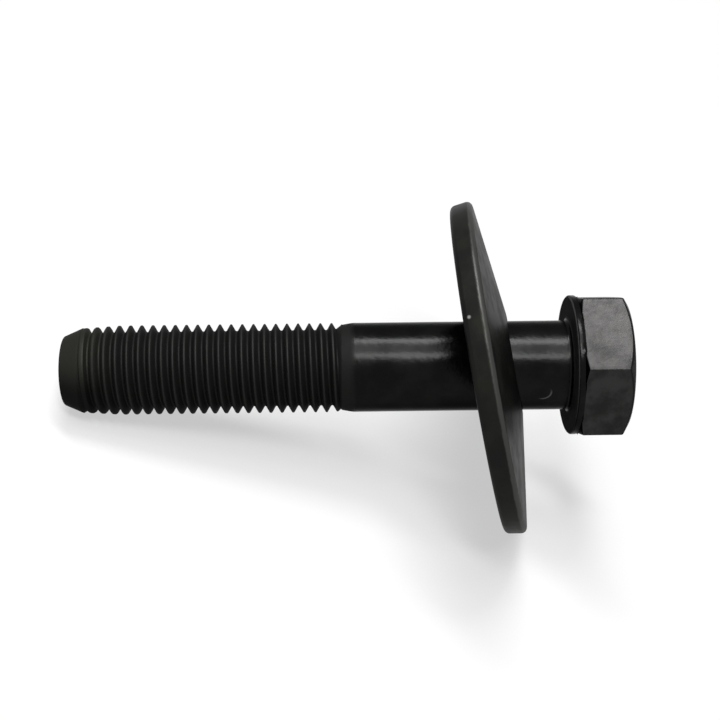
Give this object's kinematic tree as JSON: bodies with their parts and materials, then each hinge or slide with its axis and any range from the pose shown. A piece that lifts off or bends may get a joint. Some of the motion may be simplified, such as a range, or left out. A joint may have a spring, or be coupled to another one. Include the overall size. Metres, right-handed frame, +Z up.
{
  "type": "hexagon bolt with washer",
  "caption": "Black steel hexagon bolt, partly threaded, with a collar under the head and a loose dished washer leaning on its shank.",
  "frame": {"origin": "on the floor, under the middle of the lying bolt's length", "axes": "+Z up; the bolt's axis lies in the XZ plane and rises towards +X, from the point to the head"},
  "size_m": [0.101, 0.06, 0.054],
  "materials": {
    "black_bolt": "satin",
    "black_washer": "satin"
  },
  "bodies": {
    "washer": {"dished_washer": "black_washer"},
    "bolt": {"hex_bolt": "black_bolt"}
  },
  "joints": [
    {"name": "bolt_slide", "type": "slide", "parent": "washer", "child": "bolt", "axis": [0.9612, 0, 0.2759], "range_m": [-0.007, 0.085]}
  ]
}
